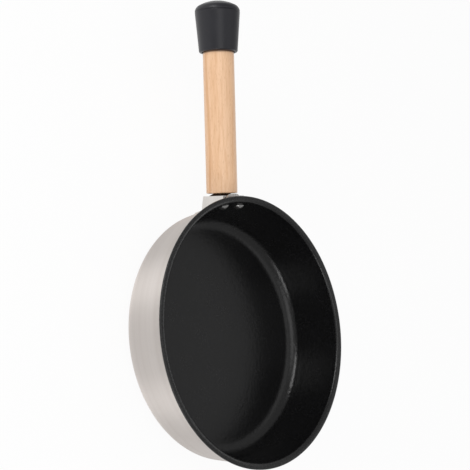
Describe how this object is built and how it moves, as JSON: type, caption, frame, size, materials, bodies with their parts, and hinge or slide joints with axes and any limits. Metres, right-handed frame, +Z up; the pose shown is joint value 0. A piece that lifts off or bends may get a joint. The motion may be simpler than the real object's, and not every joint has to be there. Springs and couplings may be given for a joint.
{
  "type": "omelette pan",
  "caption": "Omelette pan with a satin steel outside, black non-stick inside, flared lip, round beech handle on a riveted steel bracket and a flared black end cap.",
  "frame": {"origin": "Centre of the round face that the pan rests on, on the axis of the pan", "axes": "+X along the handle away from the pan, +Z up out of the pan's mouth, +Y completes a right-handed set"},
  "size_m": [0.4177, 0.24, 0.0852],
  "materials": {
    "satin_steel": "satin, fine circumferential brushing",
    "black_nonstick": "matte sprayed coating with a fine speckle",
    "core_aluminium": "plain rolled",
    "base_steel": "turned rings on a brushed face",
    "bracket_steel": "satin, pressed",
    "rivet_steel": "polished dome",
    "zinc_steel": "plain zinc",
    "black_spacer": "matte moulded",
    "beech": "oiled, smooth turned",
    "black_rubber": "matte moulded"
  },
  "bodies": {
    "root": {"pan_body": "satin_steel", "nonstick_lining": "black_nonstick", "heat_core": "core_aluminium", "base_plate": "base_steel", "handle_bracket": "bracket_steel", "bracket_rivets": "rivet_steel", "weld_nut": "zinc_steel", "spacer": "black_spacer", "wood_grip": "beech", "tie_bolt": "zinc_steel", "flat_washer": "zinc_steel", "spring_washer": "zinc_steel", "end_cap": "black_rubber"}
  },
  "joints": []
}
